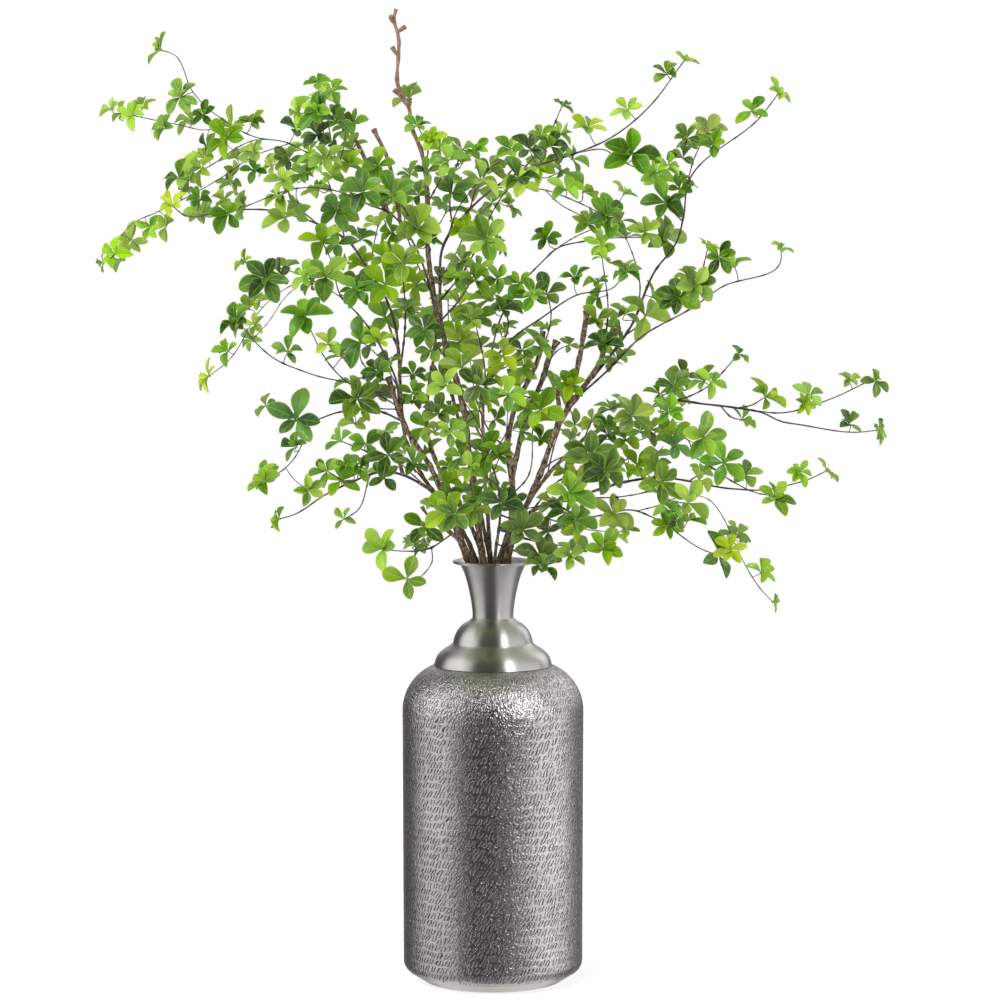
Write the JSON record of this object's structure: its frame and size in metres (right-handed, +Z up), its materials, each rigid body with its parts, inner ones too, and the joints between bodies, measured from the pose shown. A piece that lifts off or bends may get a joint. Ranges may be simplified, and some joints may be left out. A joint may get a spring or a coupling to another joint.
{
  "type": "leafy cut branches in a tall vase",
  "caption": "Tall arrangement of leafy cut branches, with small leaves in whorls on dark twigs, standing in a narrow-necked hammered-metal bottle vase.",
  "frame": {"origin": "middle of the vase's foot, on the surface that it stands on", "axes": "+Z up along the vase's axis, -Y towards the viewer, +X to the viewer's right"},
  "size_m": [0.9905, 0.5307, 1.2088],
  "materials": {
    "hammered_pewter": "dark nickel plate over rows of small slanted punch marks, satin",
    "satin_pewter": "spun and brushed nickel, satin",
    "leaf": "soft green leaf, slightly glossy above, paler below",
    "bark": "matt brown bark on the stems, smooth purple-brown on the twigs"
  },
  "bodies": {
    "root": {"vase_foot": "satin_pewter", "vase_body": "hammered_pewter", "vase_neck": "satin_pewter", "tall_branch": "leaf", "brown_branch": "leaf", "upper_left_branch": "leaf", "left_branch": "leaf", "left_low_branch": "leaf", "low_left_branch": "leaf", "front_branch": "leaf", "stub_branch": "leaf", "right_trunk": "leaf", "right_branch": "leaf", "right_low_branch": "leaf", "centre_branch": "leaf", "upper_right_branch": "leaf"}
  },
  "joints": []
}
